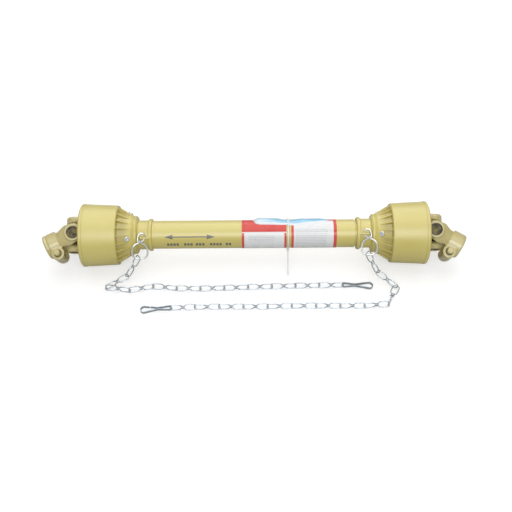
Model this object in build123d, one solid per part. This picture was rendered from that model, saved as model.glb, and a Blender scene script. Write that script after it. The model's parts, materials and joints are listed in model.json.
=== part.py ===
import math
import os

from build123d import *

# A closed power take-off drive shaft lying on the ground with its two guard chains.
# Two telescoping three-lobed tubes carry a cross joint at each end, and two plastic guard
# halves run round them on nylon rings. X runs along the shaft from the tractor end to the
# implement end, +Z is up. Each end is first drawn in its own frame: joint centre at zero,
# +X pointing out of the shaft, the piece's own upper side at +Z.

# Cross joints
joint_spacing = 690.0
cup_diameter = 24.0
cup_span = 61.0          # over the closed ends of two opposite cups
cup_length = 12.0
cup_floor = 2.5
trunnion_diameter = 15.2
trunnion_clearance = 0.08
cross_shoulder = 15.9    # from the joint centre to the seat of the seal
cross_body_diameter = 21.0
seal_diameter = 21.6
nipple_diameter = 6.0
nipple_reach = 24.0
circlip_thickness = 1.5
circlip_bite = 1.2       # how far the circlip stands into the ear's wall
circlip_ring_width = 3.0
circlip_gap = 7.0

# Yokes
ear_radius = 18.0
ear_inner_face = 19.5
ear_cast_face = 31.8
ear_boss_radius = 16.6
ear_boss_height = 2.4
ear_boss_round = 1.2
arm_envelope_radius = 35.0
crotch_depth = 35.5
crotch_corner_radius = 8.0
relief_start = 13.5      # half the flat that the chamfers leave on an arm's inner face
relief_size = 12.0
relief_end = 29.0        # how far down the arms the chamfers run, from the joint centre
arm_taper_end = 33.0
end_hub_diameter = 48.0
hub_edge = 2.5
groove_from_end = 4.5
groove_width = 4.0
groove_depth = 1.1
tractor_bend = 24.0      # how the end yokes lie bent at rest, degrees
implement_bend = 29.0
end_yoke_roll = 59.0     # the end yokes' pins point up and to the front, degrees above level

# Six-spline bore of the end yokes, for a 35 mm stub shaft
spline_minor_radius = 14.9
spline_major_radius = 17.45
spline_slot_width = 8.8
spline_count = 6
bore_lead_in = 1.5

# Push pin that locks the end yoke on its stub shaft
pin_from_crotch = 7.0
pin_from_end = 18.5
pin_offset = 23.0
pin_radius = 6.95
pin_clearance = 0.05
pin_travel = 10.0
pin_stem_radius = 5.6
pin_waist_radius = 4.8
pin_boss_radius = 12.6
pin_boss_top = 21.0
pin_hole_floor = -23.0
pin_foot = -7.0
pin_waist_start = 4.5
pin_waist_end = 15.0
pin_collar_start = 16.2
pin_collar_end = 18.5
pin_clip_thickness = 1.2
pin_clip_bite = 1.0
spring_wire = 1.4
spring_turns = 3

# Telescoping drive tubes, three rounded lobes
lobe_inradius = 14.0     # axis to the flat of the outer tube
lobe_corner_radius = 9.5
drive_tube_wall = 2.8
drive_tube_play = 0.5
tube_socket_play = 0.05
tube_seat_length = 76.0  # how deep each drive tube sits in its yoke
outer_drive_tube_play = 22.0     # from its free end to the other yoke's sleeve
inner_drive_tube_reach = 23.0    # of its free end into the other yoke's sleeve
roll_pin_diameter = 8.0
roll_pin_wall = 1.6
roll_pin_from_sleeve_end = 42.0

# Tube yokes
sleeve_diameter = 46.0
sleeve_length = 138.0    # joint centre to the inner end of the sleeve
ring_groove_from_end = 3.5
ring_groove_width = 6.6
ring_groove_depth = 2.6

# Nylon bearing rings
ring_side_play = 0.3
ring_running_play = 0.1
ring_collar_play = 0.1
ring_rib_height = 0.9
ring_rib_width = 2.0
ring_split = 3.0

# Plastic guard halves. Places are counted inwards from the joint centre.
bell_mouth = 14.0
bell_mouth_radius = 56.9
bell_lip_radius = 60.6
bell_lip_end = 21.0
bell_lip_step = 0.6
bell_shoulder_radius = 57.2
cone_top_radius = 54.5
cone_foot_radius = 35.8
bell_wall = 2.6
pocket_depth = 7.0
rib_count = 21            # a multiple of the screws, so that each screw has a pocket
rib_thickness = 1.8
rib_start = 0.9          # how far behind the bell's shoulder the ribs begin
rib_fade = 0.6           # how far their ends sink below the cone's surface
neck_radius = 28.0
neck_bore_radius = 25.5
neck_overhang = 11.0      # from the sleeve's end to the collar's end
collar_bead_radius = 31.2
collar_bead_width = 6.5
collar_lip_width = 1.6
collar_lip_depth = 0.9
flare_radius = 35.0
flange_wall = 2.2
flange_gap = 0.15
tube_stop_depth = 7.0
inner_tube_stop_depth = 10.0

# Places on cone and collar, each counted from the sleeve's end towards the joint
neck_start_back = 15.5
cone_end_back = 18.5
cone_foot_back = 22.5
pocket_end_back = 27.5
screw_back = 34.0
flange_end_back = 41.5
cone_top_back = 52.0
bell_shoulder_back = 54.0

# Screws that hold each cone to its collar
screw_count = 3
screw_head_diameter = 9.5
screw_head_height = 3.0
screw_shank_diameter = 4.0
screw_length = 7.0
screw_pad_radius = 5.0
screw_pad_depth = 2.9
screw_socket_width = 3.2

# Guard tubes
guard_tube_diameter = 54.0
guard_tube_wall = 2.2
guard_tube_play = 0.5
inner_guard_wall = 1.9
outer_guard_tube_play = 4.0      # from its free end to the other half's collar
inner_guard_tube_play = 6.0
guard_seat_play = 0.05
tractor_guard_roll = 37.5    # direction of screw and chain eye, degrees above level
implement_guard_roll = 46.0

# Chain eye on the collar, a round bar over a gap
eye_bar_diameter = 3.8
eye_bar_from_end = 12.5
eye_bar_span = 11.0
eye_post_width = 3.0
eye_post_root = 0.6       # how deep the posts stand in the neck
eye_gap = 4.4

# Figure-eight wire hook
hook_wire = 2.8
hook_seat_gap = 0.4
hook_ring_radius = 13.5
hook_ring_place = 9.75    # ring's middle, outwards along the shaft from the middle of the eye
hook_ring_drop = 26.5     # and below the eye's bar
hook_ring_stand = 1.0
tractor_hang_angle = 15.0     # where on the ring the first link hangs, from straight down
implement_hang_angle = -20.0
tractor_hang_play = 1.0
implement_hang_play = 2.1

# Knotted double-loop chain
chain_wire = 2.1
chain_pitch = 45.5
loop_width = 14.6
knot_diameter = 6.4
knot_length = 5.4
link_play = 0.4
tractor_link_count = 12
implement_link_count = 12

# Flat spring snap hooks
clip_strip = 1.3
clip_width = 5.0
clip_length = 58.0
clip_small_radius = 3.6
clip_large_radius = 6.2
clip_waist = 2.4
clip_gate_slit = 1.0

# What lies on the outer guard tube
wrap_gap = 0.3           # how loosely labels, leaflet and tie lie on what they go round
label_thickness = 0.15
label_low_angle = -60.0
label_high_angle = 128.0
first_label_start = -24.0
first_label_width = 85.0
label_gap = 9.5
second_label_width = 86.5
leaflet_start = -1.0
leaflet_width = 140.0
leaflet_corner = 16.0
leaflet_thickness = 1.4
leaflet_low_angle = 76.0
leaflet_high_angle = 168.0
tie_from_label = 3.5
tie_width = 2.6
tie_thickness = 1.2
tie_head = 5.5
tie_head_angle = -48.0
tie_tail_length = 51.0

# Values that follow from the ones above
joint_x = joint_spacing / 2
cup_radius = cup_diameter / 2
cup_face = cup_span / 2
trunnion_radius = trunnion_diameter / 2
ear_face = ear_cast_face + ear_boss_height
end_hub_radius = end_hub_diameter / 2
sleeve_radius = sleeve_diameter / 2
pin_x = crotch_depth + pin_from_crotch
end_hub_length = pin_x + pin_from_end    # joint centre to the outer face of the end yoke
guard_tube_radius = guard_tube_diameter / 2
inner_guard_radius = guard_tube_radius - guard_tube_wall - guard_tube_play
ground = -bell_lip_radius
inner_tube_shrink = drive_tube_wall + drive_tube_play
chain_radius = chain_wire / 2
loop_half_width = loop_width / 2
chain_height = ground + loop_half_width
eye_bar_radius = eye_bar_diameter / 2
eye_axis_radius = neck_radius + eye_gap + eye_bar_radius
ring_groove_start = sleeve_length - ring_groove_from_end - ring_groove_width
neck_end_place = sleeve_length + neck_overhang
neck_start_place = sleeve_length - neck_start_back
cone_end_place = sleeve_length - cone_end_back
cone_foot_place = sleeve_length - cone_foot_back
pocket_end_place = sleeve_length - pocket_end_back
screw_place = sleeve_length - screw_back
flange_end_place = sleeve_length - flange_end_back
cone_top_place = sleeve_length - cone_top_back
bell_shoulder_place = sleeve_length - bell_shoulder_back
eye_bar_place = neck_end_place - eye_bar_from_end
outer_drive_tube_end = joint_x - sleeve_length - outer_drive_tube_play
inner_drive_tube_end = -(joint_x - sleeve_length + inner_drive_tube_reach)
outer_guard_tube_end = joint_x - neck_end_place - outer_guard_tube_play
inner_guard_tube_end = -(joint_x - neck_end_place - inner_guard_tube_play)
second_label_start = first_label_start + first_label_width + label_gap
tie_place = first_label_start + first_label_width + tie_from_label
tractor = -1
implement = 1

# Corners of each chain's route on the ground, from its hook to its snap hook.
chain_route = {
    tractor: [(-250.0, -69.0, chain_height), (-285.5, -87.0, chain_height), (-238.0, -94.0, chain_height),
              (-195.0, -84.5, chain_height), (-131.0, -92.0, chain_height), (-40.0, -89.5, chain_height),
              (50.0, -86.5, chain_height), (300.0, -83.0, chain_height)],
    implement: [(244.0, -74.0, chain_height), (275.0, -93.0, chain_height), (251.0, -132.0, chain_height),
                (205.0, -135.5, chain_height), (92.0, -134.0, chain_height), (0.0, -135.5, chain_height),
                (-88.0, -134.5, chain_height), (-300.0, -140.0, chain_height)],
}
link_total = {tractor: tractor_link_count, implement: implement_link_count}


def turned(points):
    # A solid turned about the X axis from (x, radius) points.
    return revolve(make_face(Polyline(*points, close=True)), Axis.X)


def turned_ring(x_from, x_to, outer, inner):
    return turned([(x_from, inner), (x_to, inner), (x_to, outer), (x_from, outer)])


def along_z(radius, z_from, z_to, x=0.0, y=0.0):
    # A round bar along Z between two heights.
    middle = (z_from + z_to) / 2
    return Pos(x, y, middle) * Cylinder(radius, z_to - z_from)


def end_place(side, roll):
    # From an end's own frame to the shaft: out along X, then rolled so that +Z
    # points to the front, roll degrees above level.
    flip = Rot(0, 0, 180) if side == tractor else Rot(0, 0, 0)
    return Pos(side * joint_x, 0, 0) * Rot(90 - roll, 0, 0) * flip


def bend_of(side):
    # Turn of the end yoke about its own pins at rest, in degrees.
    return tractor_bend if side == tractor else -implement_bend


# Yokes

def yoke_blank(hub_radius, hub_end, edge):
    # Arms and hub: side view, plan view and turned outline cut each other to shape.
    side_view = make_face(Polyline(
        (-ear_radius, ear_cast_face), (ear_radius / 2, ear_cast_face), (arm_taper_end, hub_radius),
        (hub_end, hub_radius), (hub_end, -hub_radius), (arm_taper_end, -hub_radius),
        (ear_radius / 2, -ear_cast_face), (-ear_radius, -ear_cast_face), close=True))
    plan_view = Circle(ear_radius) + make_face(Polyline(
        (0, ear_radius), (arm_taper_end, hub_radius), (hub_end, hub_radius),
        (hub_end, -hub_radius), (arm_taper_end, -hub_radius), (0, -ear_radius), close=True))
    envelope = turned([
        (-ear_radius, 0), (-ear_radius, arm_envelope_radius), (ear_radius / 2, arm_envelope_radius),
        (arm_taper_end, hub_radius), (hub_end - edge, hub_radius),
        (hub_end, hub_radius - edge), (hub_end, 0)])
    width = 2 * arm_envelope_radius
    blank = extrude(Plane.XZ * side_view, width / 2, both=True)
    blank &= extrude(plan_view, width / 2, both=True)
    blank &= envelope
    boss = make_face(Polyline(
        (0, -ear_face), (ear_boss_radius - ear_boss_round, -ear_face),
        (ear_boss_radius, -ear_face + ear_boss_round), (ear_boss_radius, ear_face - ear_boss_round),
        (ear_boss_radius - ear_boss_round, ear_face), (0, ear_face), close=True))
    return blank + revolve(Plane.XZ * boss, Axis.Z)


def crotch():
    # The open space between the two ears.
    slot = Pos((crotch_depth - 2 * ear_radius) / 2, 0, 0) * Box(
        crotch_depth + 2 * ear_radius, 4 * ear_radius, 2 * ear_inner_face)
    inner_edges = slot.edges().filter_by(Axis.Y).group_by(Axis.X)[-1]
    return fillet(inner_edges, crotch_corner_radius) + arm_reliefs()


def arm_reliefs():
    # Chamfers along the arms' inner edges, so that two forks pass each other when both are bent.
    low, high = ear_inner_face - 1, ear_inner_face + relief_size
    wedge = make_face(Polyline(
        (relief_start - 1, low), (relief_start + relief_size, high),
        (relief_start + relief_size, low), close=True))
    length = relief_end + ear_radius + 1
    bar = extrude(Plane(origin=(relief_end, 0, 0), x_dir=(0, 1, 0), z_dir=(1, 0, 0)) * wedge, -length)
    bar += mirror(bar, about=Plane.XZ)
    return bar + mirror(bar, about=Plane.XY)


def cup_bores():
    # The two cup seats and the circlip grooves outside them.
    bores = along_z(cup_radius, -ear_face - 1, ear_face + 1)
    for face in (1, -1):
        near, far = face * cup_face, face * (cup_face + circlip_thickness + 0.1)
        bores += along_z(cup_radius + circlip_bite + 0.1, min(near, far), max(near, far))
    return bores


def spline_bore():
    # Six slots round a plain bore, opening with a lead-in at the outer end.
    bore = turned_ring(0, end_hub_length + 1, spline_minor_radius, 0)
    reach = spline_major_radius
    for index in range(spline_count):
        slot = Pos(end_hub_length / 2 + 1, 0, reach / 2) * Box(
            end_hub_length, spline_slot_width, reach)
        bore += Rot(360 / spline_count * index, 0, 0) * slot
    bore &= turned_ring(0, end_hub_length + 1, spline_major_radius, 0)
    lead = spline_major_radius + bore_lead_in
    start = end_hub_length - bore_lead_in
    bore += turned([(start, 0), (start, lead - bore_lead_in), (end_hub_length + 0.1, lead),
                    (end_hub_length + 0.1, 0)])
    return bore


def end_yoke(side):
    # Splined yoke with its push-pin boss on the side that lies lower.
    boss_y = -side * pin_offset
    body = yoke_blank(end_hub_radius, end_hub_length, hub_edge)
    body += along_z(pin_boss_radius, pin_hole_floor - 3, pin_boss_top, pin_x, boss_y)
    if side == tractor:
        start = end_hub_length - groove_from_end - groove_width
        body -= turned_ring(start, start + groove_width, end_hub_radius + 1,
                            end_hub_radius - groove_depth) - along_z(
                                pin_boss_radius, pin_hole_floor - 3, pin_boss_top, pin_x, boss_y)
    body -= crotch()
    body -= cup_bores()
    body -= spline_bore()
    hole = pin_radius + pin_clearance
    body -= along_z(hole, pin_hole_floor, pin_boss_top + 1, pin_x, boss_y)
    clip_top = pin_collar_end + pin_clip_thickness + 0.1
    body -= along_z(hole + pin_clip_bite, pin_collar_end, clip_top, pin_x, boss_y)
    return body


def push_pin(side):
    # Turned locking pin: full size where it bites the stub shaft, waisted above.
    profile = make_face(Polyline(
        (0, pin_foot), (pin_radius, pin_foot), (pin_radius, pin_waist_start - 1.5),
        (pin_waist_radius, pin_waist_start), (pin_waist_radius, pin_waist_end),
        (pin_radius, pin_collar_start), (pin_radius, pin_collar_end),
        (pin_stem_radius, pin_collar_end), (pin_stem_radius, pin_boss_top + pin_travel - 1),
        (pin_stem_radius - 1, pin_boss_top + pin_travel), (0, pin_boss_top + pin_travel), close=True))
    return Pos(pin_x, -side * pin_offset, 0) * revolve(Plane.XZ * profile, Axis.Z)


def pin_clip(side):
    # Snap ring in the mouth of the pin hole.
    hole = pin_radius + pin_clearance
    top = pin_collar_end + pin_clip_thickness
    ring = along_z(hole + pin_clip_bite - 0.1, pin_collar_end, top)
    ring -= along_z(pin_stem_radius + 0.2, pin_collar_end, top)
    ring -= Pos(hole, 0, top) * Box(2 * hole - 2 * pin_stem_radius + 2, 2.0, 4 * pin_clip_thickness)
    return Pos(pin_x, -side * pin_offset, 0) * ring


def pin_spring(side):
    # Coil spring between the pin's foot and the floor of its hole.
    radius = pin_stem_radius - spring_wire / 2
    low, high = pin_hole_floor + spring_wire / 2, pin_foot - spring_wire / 2
    path = Helix(pitch=(high - low) / spring_turns, height=high - low, radius=radius)
    wire = sweep(Plane(path @ 0, z_dir=path % 0) * Circle(spring_wire / 2), path=path)
    return Pos(pin_x, -side * pin_offset, low) * wire


def tube_yoke():
    # Yoke with a long sleeve for the drive tube, drawn with the sleeve along +X.
    body = yoke_blank(sleeve_radius, sleeve_length, 1.0)
    body -= crotch()
    body -= cup_bores()
    body -= turned_ring(ring_groove_start, ring_groove_start + ring_groove_width,
                        sleeve_radius + 1, sleeve_radius - ring_groove_depth)
    body -= along_z(roll_pin_diameter / 2, -sleeve_radius - 1, sleeve_radius + 1,
                    sleeve_length - roll_pin_from_sleeve_end)
    return body


def lobed(inradius, corner, grow):
    # A triangle with wide round corners, grown or shrunk evenly.
    outline = RegularPolygon(2 * (inradius + grow), 3)
    return fillet(outline.vertices(), corner + grow)


def along_shaft(sketch, x_from, x_to):
    # Pulls a sketch along the shaft's axis, turned to suit the pins of the tube yokes.
    return Pos(x_from, 0, 0) * Rot(-end_yoke_roll, 0, 0) * Rot(0, 90, 0) * extrude(sketch, x_to - x_from)


def drive_tube(x_from, x_to, shrink, pin_bore):
    # Three-lobed steel tube between two places on the shaft's axis.
    outer = lobed(lobe_inradius, lobe_corner_radius, -shrink)
    inner = lobed(lobe_inradius, lobe_corner_radius, -shrink - drive_tube_wall)
    return along_shaft(outer - inner, x_from, x_to) - pin_bore


def tube_socket(side, shrink):
    # The lobed bore of a tube yoke, from its sleeve's end through to its ears.
    bore = lobed(lobe_inradius, lobe_corner_radius, tube_socket_play - shrink)
    reach = joint_x - crotch_depth + 5
    mouth = joint_x - sleeve_length - 1
    if side == tractor:
        return along_shaft(bore, -reach, -mouth)
    return along_shaft(bore, mouth, reach)


def sleeve_place(side):
    # From a tube yoke's own frame to the shaft, its sleeve pointing inwards.
    return end_place(side, end_yoke_roll) * Rot(90, 0, 0) * Rot(0, 0, 180)


def roll_pin_bore(side):
    return sleeve_place(side) * along_z(roll_pin_diameter / 2, -sleeve_radius, sleeve_radius,
                                        sleeve_length - roll_pin_from_sleeve_end)


def roll_pin():
    length = sleeve_radius - 0.5
    bar = along_z(roll_pin_diameter / 2, -length, length)
    bar -= along_z(roll_pin_diameter / 2 - roll_pin_wall, -length, length)
    bar -= Pos(roll_pin_diameter / 2, 0, 0) * Box(roll_pin_diameter, 1.0, 2 * length)
    return Pos(sleeve_length - roll_pin_from_sleeve_end, 0, 0) * bar


# Cross joints

def cross():
    # Forged cross with its four trunnions along Y and Z.
    shoulder = cross_body_diameter / 2
    body = Sphere(shoulder + 3) & Box(4 * shoulder, 2 * cross_shoulder, 2 * cross_shoulder)
    trunnion_end = cup_face - cup_floor - 0.1
    for turn in (0, 90):
        body += Rot(turn, 0, 0) * along_z(shoulder, -cross_shoulder, cross_shoulder)
        body += Rot(turn, 0, 0) * along_z(trunnion_radius, -trunnion_end, trunnion_end)
    nipple_seat = along_z(nipple_diameter / 2 + 0.05, 0, shoulder + 8)
    return body - Rot(45, 0, 0) * nipple_seat


def grease_nipple():
    # Nipple between two trunnions, with a hexagon and a round nose.
    shoulder = cross_body_diameter / 2
    stem = along_z(nipple_diameter / 2 - 0.8, 3.0, nipple_reach - 2)
    thread = along_z(nipple_diameter / 2, 2.0, shoulder + 6)
    nose = Pos(0, 0, nipple_reach - 2) * Sphere(nipple_diameter / 2 - 0.6)
    return Rot(45, 0, 0) * (thread + stem + nose)


def seals():
    # Four rubber rings between the cross and the mouths of the cups.
    mouth = cup_face - cup_length
    ring = along_z(seal_diameter / 2, cross_shoulder, mouth)
    ring -= along_z(trunnion_radius, cross_shoulder, mouth)
    return [Rot(90 * index, 0, 0) * ring for index in range(4)]


def cups():
    # Two needle-bearing cups, closed outwards, for ears on the Z axis.
    cup = along_z(cup_radius, cup_face - cup_length, cup_face)
    cup -= along_z(trunnion_radius + trunnion_clearance, cup_face - cup_length, cup_face - cup_floor)
    return [cup, Rot(180, 0, 0) * cup]


def circlips():
    # Two open rings that hold the cups in their ears.
    outer = cup_radius + circlip_bite
    ring = along_z(outer, cup_face, cup_face + circlip_thickness)
    ring -= along_z(outer - circlip_ring_width, cup_face, cup_face + circlip_thickness)
    ring -= Pos(outer, 0, cup_face) * Box(4 * circlip_ring_width, circlip_gap, 4 * circlip_thickness)
    return [ring, Rot(180, 0, 0) * ring]


# Guards

def slope_radius(place):
    # Outer radius of the ribbed cone at a place counted inwards from the joint.
    share = (place - cone_top_place) / (cone_foot_place - cone_top_place)
    return cone_top_radius + share * (cone_foot_radius - cone_top_radius)


slope = math.degrees(math.atan2(cone_top_radius - cone_foot_radius, cone_foot_place - cone_top_place))
slope_wall = bell_wall / math.cos(math.radians(slope))


def floor_radius(place):
    # Outer radius of the pockets' floors, which run out into the slope at their lower ends.
    share = (place - cone_top_place) / (pocket_end_place - cone_top_place)
    start = cone_top_radius - pocket_depth
    return start + share * (slope_radius(pocket_end_place) - start)


def cone_skin():
    # Bell and cone in one turned wall, with the pockets' floors cut below the ribs.
    rim_radius = bell_lip_radius - bell_lip_step
    outer = [
        (-bell_mouth, bell_mouth_radius + 1), (-bell_mouth - 1.5, bell_lip_radius - 0.5),
        (-bell_mouth - 2.5, bell_lip_radius), (-bell_lip_end, bell_lip_radius),
        (-bell_lip_end - 0.8, rim_radius), (-bell_shoulder_place + 1.2, bell_shoulder_radius),
        (-bell_shoulder_place - 0.6, bell_shoulder_radius - 1),
        (-cone_top_place, floor_radius(cone_top_place)), (-pocket_end_place, slope_radius(pocket_end_place)),
        (-cone_foot_place, cone_foot_radius), (-cone_foot_place - 0.8, cone_foot_radius + 1),
        (-cone_end_place + 0.6, cone_foot_radius + 1), (-cone_end_place, cone_foot_radius)]
    inner = [
        (-cone_end_place, slope_radius(cone_end_place) - slope_wall),
        (-pocket_end_place, slope_radius(pocket_end_place) - slope_wall),
        (-cone_top_place, floor_radius(cone_top_place) - slope_wall),
        (-bell_shoulder_place + bell_wall, bell_shoulder_radius - bell_wall - 1),
        (-bell_shoulder_place + 2 * bell_wall, bell_shoulder_radius - bell_wall),
        (-bell_lip_end, rim_radius - bell_wall), (-bell_mouth, bell_mouth_radius - 1)]
    return turned(outer + inner)


def cone_rib():
    # One rib: a thin radial plate between two pockets, its edges sunk in the wall.
    near, far = bell_shoulder_place + rib_start, pocket_end_place + 1
    floor = floor_radius(cone_top_place)
    plate = make_face(Polyline(
        (-near, floor + 0.1), (-near, cone_top_radius - rib_fade), (-far, slope_radius(far) - rib_fade),
        (-far, slope_radius(far) - 0.6 * slope_wall), (-near - 3, floor - 0.6 * slope_wall), close=True))
    return extrude(Plane.XZ * plate, rib_thickness / 2, both=True)


def screw_axis(index):
    # Frame on the cone's surface, its Z square to the slope, at one screw.
    return (Rot(360 / screw_count * index, 0, 0)
            * Pos(-screw_place, 0, slope_radius(screw_place)) * Rot(0, -slope, 0))


def guard_cone():
    # The bell, with a rib on each side of every pocket and a flat pad under each screw.
    body = cone_skin()
    step = 360 / rib_count
    for index in range(rib_count):
        body += Rot(step * (index + 0.5), 0, 0) * cone_rib()
    for index in range(screw_count):
        place = screw_axis(index)
        body += place * along_z(screw_pad_radius, -screw_pad_depth, 0)
        body -= place * along_z(screw_shank_diameter / 2 + 0.2, -8, 1)
    return body


def guard_collar(tube_radius, stop_depth):
    # Neck with its bead and chain eye, and the flange that the cone is screwed to.
    bore_step = -neck_end_place + stop_depth
    seat = tube_radius + guard_seat_play
    groove = -(ring_groove_start + ring_groove_width / 2)
    rib_half = ring_rib_width / 2 + 0.1
    groove_radius = neck_bore_radius + ring_rib_height
    bead_end = -neck_end_place + collar_bead_width
    wedge_out = slope_radius(cone_foot_place) - slope_wall - flange_gap
    tip_out = floor_radius(flange_end_place) - slope_wall - flange_gap
    pocket_out = slope_radius(pocket_end_place) - slope_wall - flange_gap
    body = turned([
        (-neck_end_place, seat), (bore_step, seat), (bore_step, neck_bore_radius),
        (groove - rib_half, neck_bore_radius), (groove - rib_half, groove_radius),
        (groove + rib_half, groove_radius), (groove + rib_half, neck_bore_radius),
        (-neck_start_place, neck_bore_radius), (-cone_end_place, wedge_out - flange_wall - 3),
        (-cone_foot_place, wedge_out - flange_wall), (-pocket_end_place, pocket_out - flange_wall),
        (-flange_end_place, tip_out - flange_wall + 1), (-flange_end_place, tip_out),
        (-pocket_end_place, pocket_out), (-cone_end_place + 1, wedge_out - 2.6),
        (-cone_end_place - flange_gap, wedge_out - 2.6), (-cone_end_place - flange_gap, flare_radius),
        (-cone_end_place - 1.2, flare_radius), (-neck_start_place, neck_radius),
        (bead_end + collar_lip_width, neck_radius),
        (bead_end + collar_lip_width, neck_radius + collar_lip_depth),
        (bead_end, neck_radius + collar_lip_depth), (bead_end, collar_bead_radius - 1),
        (bead_end - 1, collar_bead_radius), (-neck_end_place + 1, collar_bead_radius),
        (-neck_end_place, collar_bead_radius - 1)])
    body += chain_eye()
    for index in range(screw_count):
        body -= screw_axis(index) * along_z(screw_shank_diameter / 2, -screw_length - 3, 0)
    return body


def chain_eye():
    # Round bar on two posts, standing over the neck at +Z.
    half = eye_bar_span / 2 + eye_post_width
    bar = Pos(-eye_bar_place, 0, eye_axis_radius) * Rot(0, 90, 0) * Cylinder(eye_bar_radius, 2 * half)
    for end in (1, -1):
        x = -eye_bar_place + end * (half - eye_post_width / 2)
        height = eye_axis_radius - neck_radius + eye_post_root
        bar += Pos(x, 0, eye_axis_radius - height / 2) * Box(
            eye_post_width, eye_bar_diameter, height)
    return bar


def bearing_ring():
    # Split nylon ring that runs in the sleeve's groove and snaps into the collar.
    inner = sleeve_radius - ring_groove_depth + ring_running_play
    start = -(ring_groove_start + ring_groove_width - ring_side_play)
    end = -(ring_groove_start + ring_side_play)
    middle = (start + end) / 2
    outer = neck_bore_radius - ring_collar_play
    ring = turned_ring(start, end, outer, inner)
    ring += turned_ring(middle - ring_rib_width / 2, middle + ring_rib_width / 2,
                        outer + ring_rib_height, outer - 1)
    return ring - Pos(middle, 0, -outer) * Box(2 * (end - start), ring_split, 2 * (outer - inner) + 4)


def cone_screws():
    # Pan-head screws with a hexagon socket.
    head = along_z(screw_head_diameter / 2, 0, screw_head_height)
    head = chamfer(head.edges().group_by(Axis.Z)[-1], 1.0)
    screw = head + along_z(screw_shank_diameter / 2, -screw_length, 0)
    screw -= Pos(0, 0, screw_head_height - 1.5) * extrude(RegularPolygon(screw_socket_width / 2, 6), 3)
    return [screw_axis(index) * screw for index in range(screw_count)]


# Chains

def bent_wire(points, radii, diameter):
    # A round wire along straight runs joined by tangent arcs.
    path = FilletPolyline(*points, radius=radii)
    return sweep(Plane(path @ 0, z_dir=path % 0) * Circle(diameter / 2), path=path)


def chain_hook():
    # Figure-eight hook: a closed ring below, an open hook through the collar's eye.
    # Points are (outwards along the shaft, down from the eye, out from the neck).
    lift = neck_radius + hook_seat_gap + hook_wire / 2
    bottom = hook_ring_drop + hook_ring_radius
    near = hook_ring_place - hook_ring_radius - 0.75
    far = hook_ring_place + hook_ring_radius + 0.75
    route = [(13.0, 8.0, 5.6), (13.0, -8.8, 4.4), (0.4, -8.8, 2.0), (0.4, 4.0, 0.0), (far - 1, 15.0, 9.2),
             (far, bottom, 2.0), (near, bottom, 0.0), (near, 15.0, 1.5), (9.0, 7.0, 6.6)]
    radii = [6.0, 6.0, 7.0, 8.0, hook_ring_radius, hook_ring_radius, 8.0]
    points = [(-eye_bar_place + along, -down, lift + out) for along, down, out in route]
    return bent_wire(points, radii, hook_wire)


def hook_foot(side):
    # Where the first chain link hangs on the hook's ring, in the shaft's frame.
    lift = neck_radius + hook_seat_gap + hook_wire / 2 + hook_ring_stand
    roll = tractor_guard_roll if side == tractor else implement_guard_roll
    play = tractor_hang_play if side == tractor else implement_hang_play
    turn = math.radians(tractor_hang_angle if side == tractor else implement_hang_angle)
    reach = hook_ring_radius - hook_wire / 2 - play
    along = hook_ring_place + reach * math.sin(turn)
    drop = hook_ring_drop + reach * math.cos(turn)
    return (end_place(side, roll) * Pos(along - eye_bar_place, -side * drop, lift)).position


def chain_link():
    # One link: a wire bent into two loops square to each other, tied in the middle.
    reach = chain_pitch / 2 + chain_radius + link_play / 2
    loop = wire_loop(reach)
    knot = Rot(0, 90, 0) * extrude(RegularPolygon(knot_diameter / 2, 8), knot_length / 2, both=True)
    return Rot(0, 0, 180) * loop + Rot(90, 0, 0) * loop + knot


def wire_loop(reach):
    # Half a link: an eight-cornered loop of six-sided wire from the knot to the end.
    half = loop_half_width - chain_radius
    corners = [(0, 0.8), (half * 0.9, half), (reach - half * 0.65, half), (reach - half * 0.2, half * 0.78),
               (reach, half * 0.35), (reach, -half * 0.35), (reach - half * 0.2, -half * 0.78),
               (reach - half * 0.65, -half), (half * 0.9, -half), (0, -0.8)]
    path = Polyline(*corners)
    section = Plane(path @ 0, z_dir=path % 0) * RegularPolygon(chain_radius * 1.08, 6)
    return sweep(section, path=path, transition=Transition.RIGHT)


def chain_points(start, corners, count):
    # Walk along a route in straight steps of one pitch, as the links do.
    route = [Vector(*start)] + [Vector(*corner) for corner in corners]
    points = [route[0]]
    leg = 0
    while len(points) <= count:
        here = points[-1]
        while (route[leg + 1] - here).length < chain_pitch and leg + 2 < len(route):
            leg += 1
        a, b = route[leg], route[leg + 1]
        along = (b - a).normalized()
        offset = here - a
        foot = offset.dot(along)
        gap = max(offset.dot(offset) - foot * foot, 0.0)
        points.append(a + along * (foot + math.sqrt(max(chain_pitch ** 2 - gap, 1.0))))
    return points


def link_place(start, end):
    # The frame of a link between two points, its second loop standing upright.
    along = (end - start).normalized()
    across = Vector(0, 0, 1).cross(along).normalized()
    middle = (start + end) * 0.5
    return Plane(origin=middle, x_dir=along, z_dir=along.cross(across)).location


def chain(side):
    link = chain_link()
    points = chain_points(hook_foot(side), chain_route[side], link_total[side])
    return [link_place(a, b) * link for a, b in zip(points, points[1:])]


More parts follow.
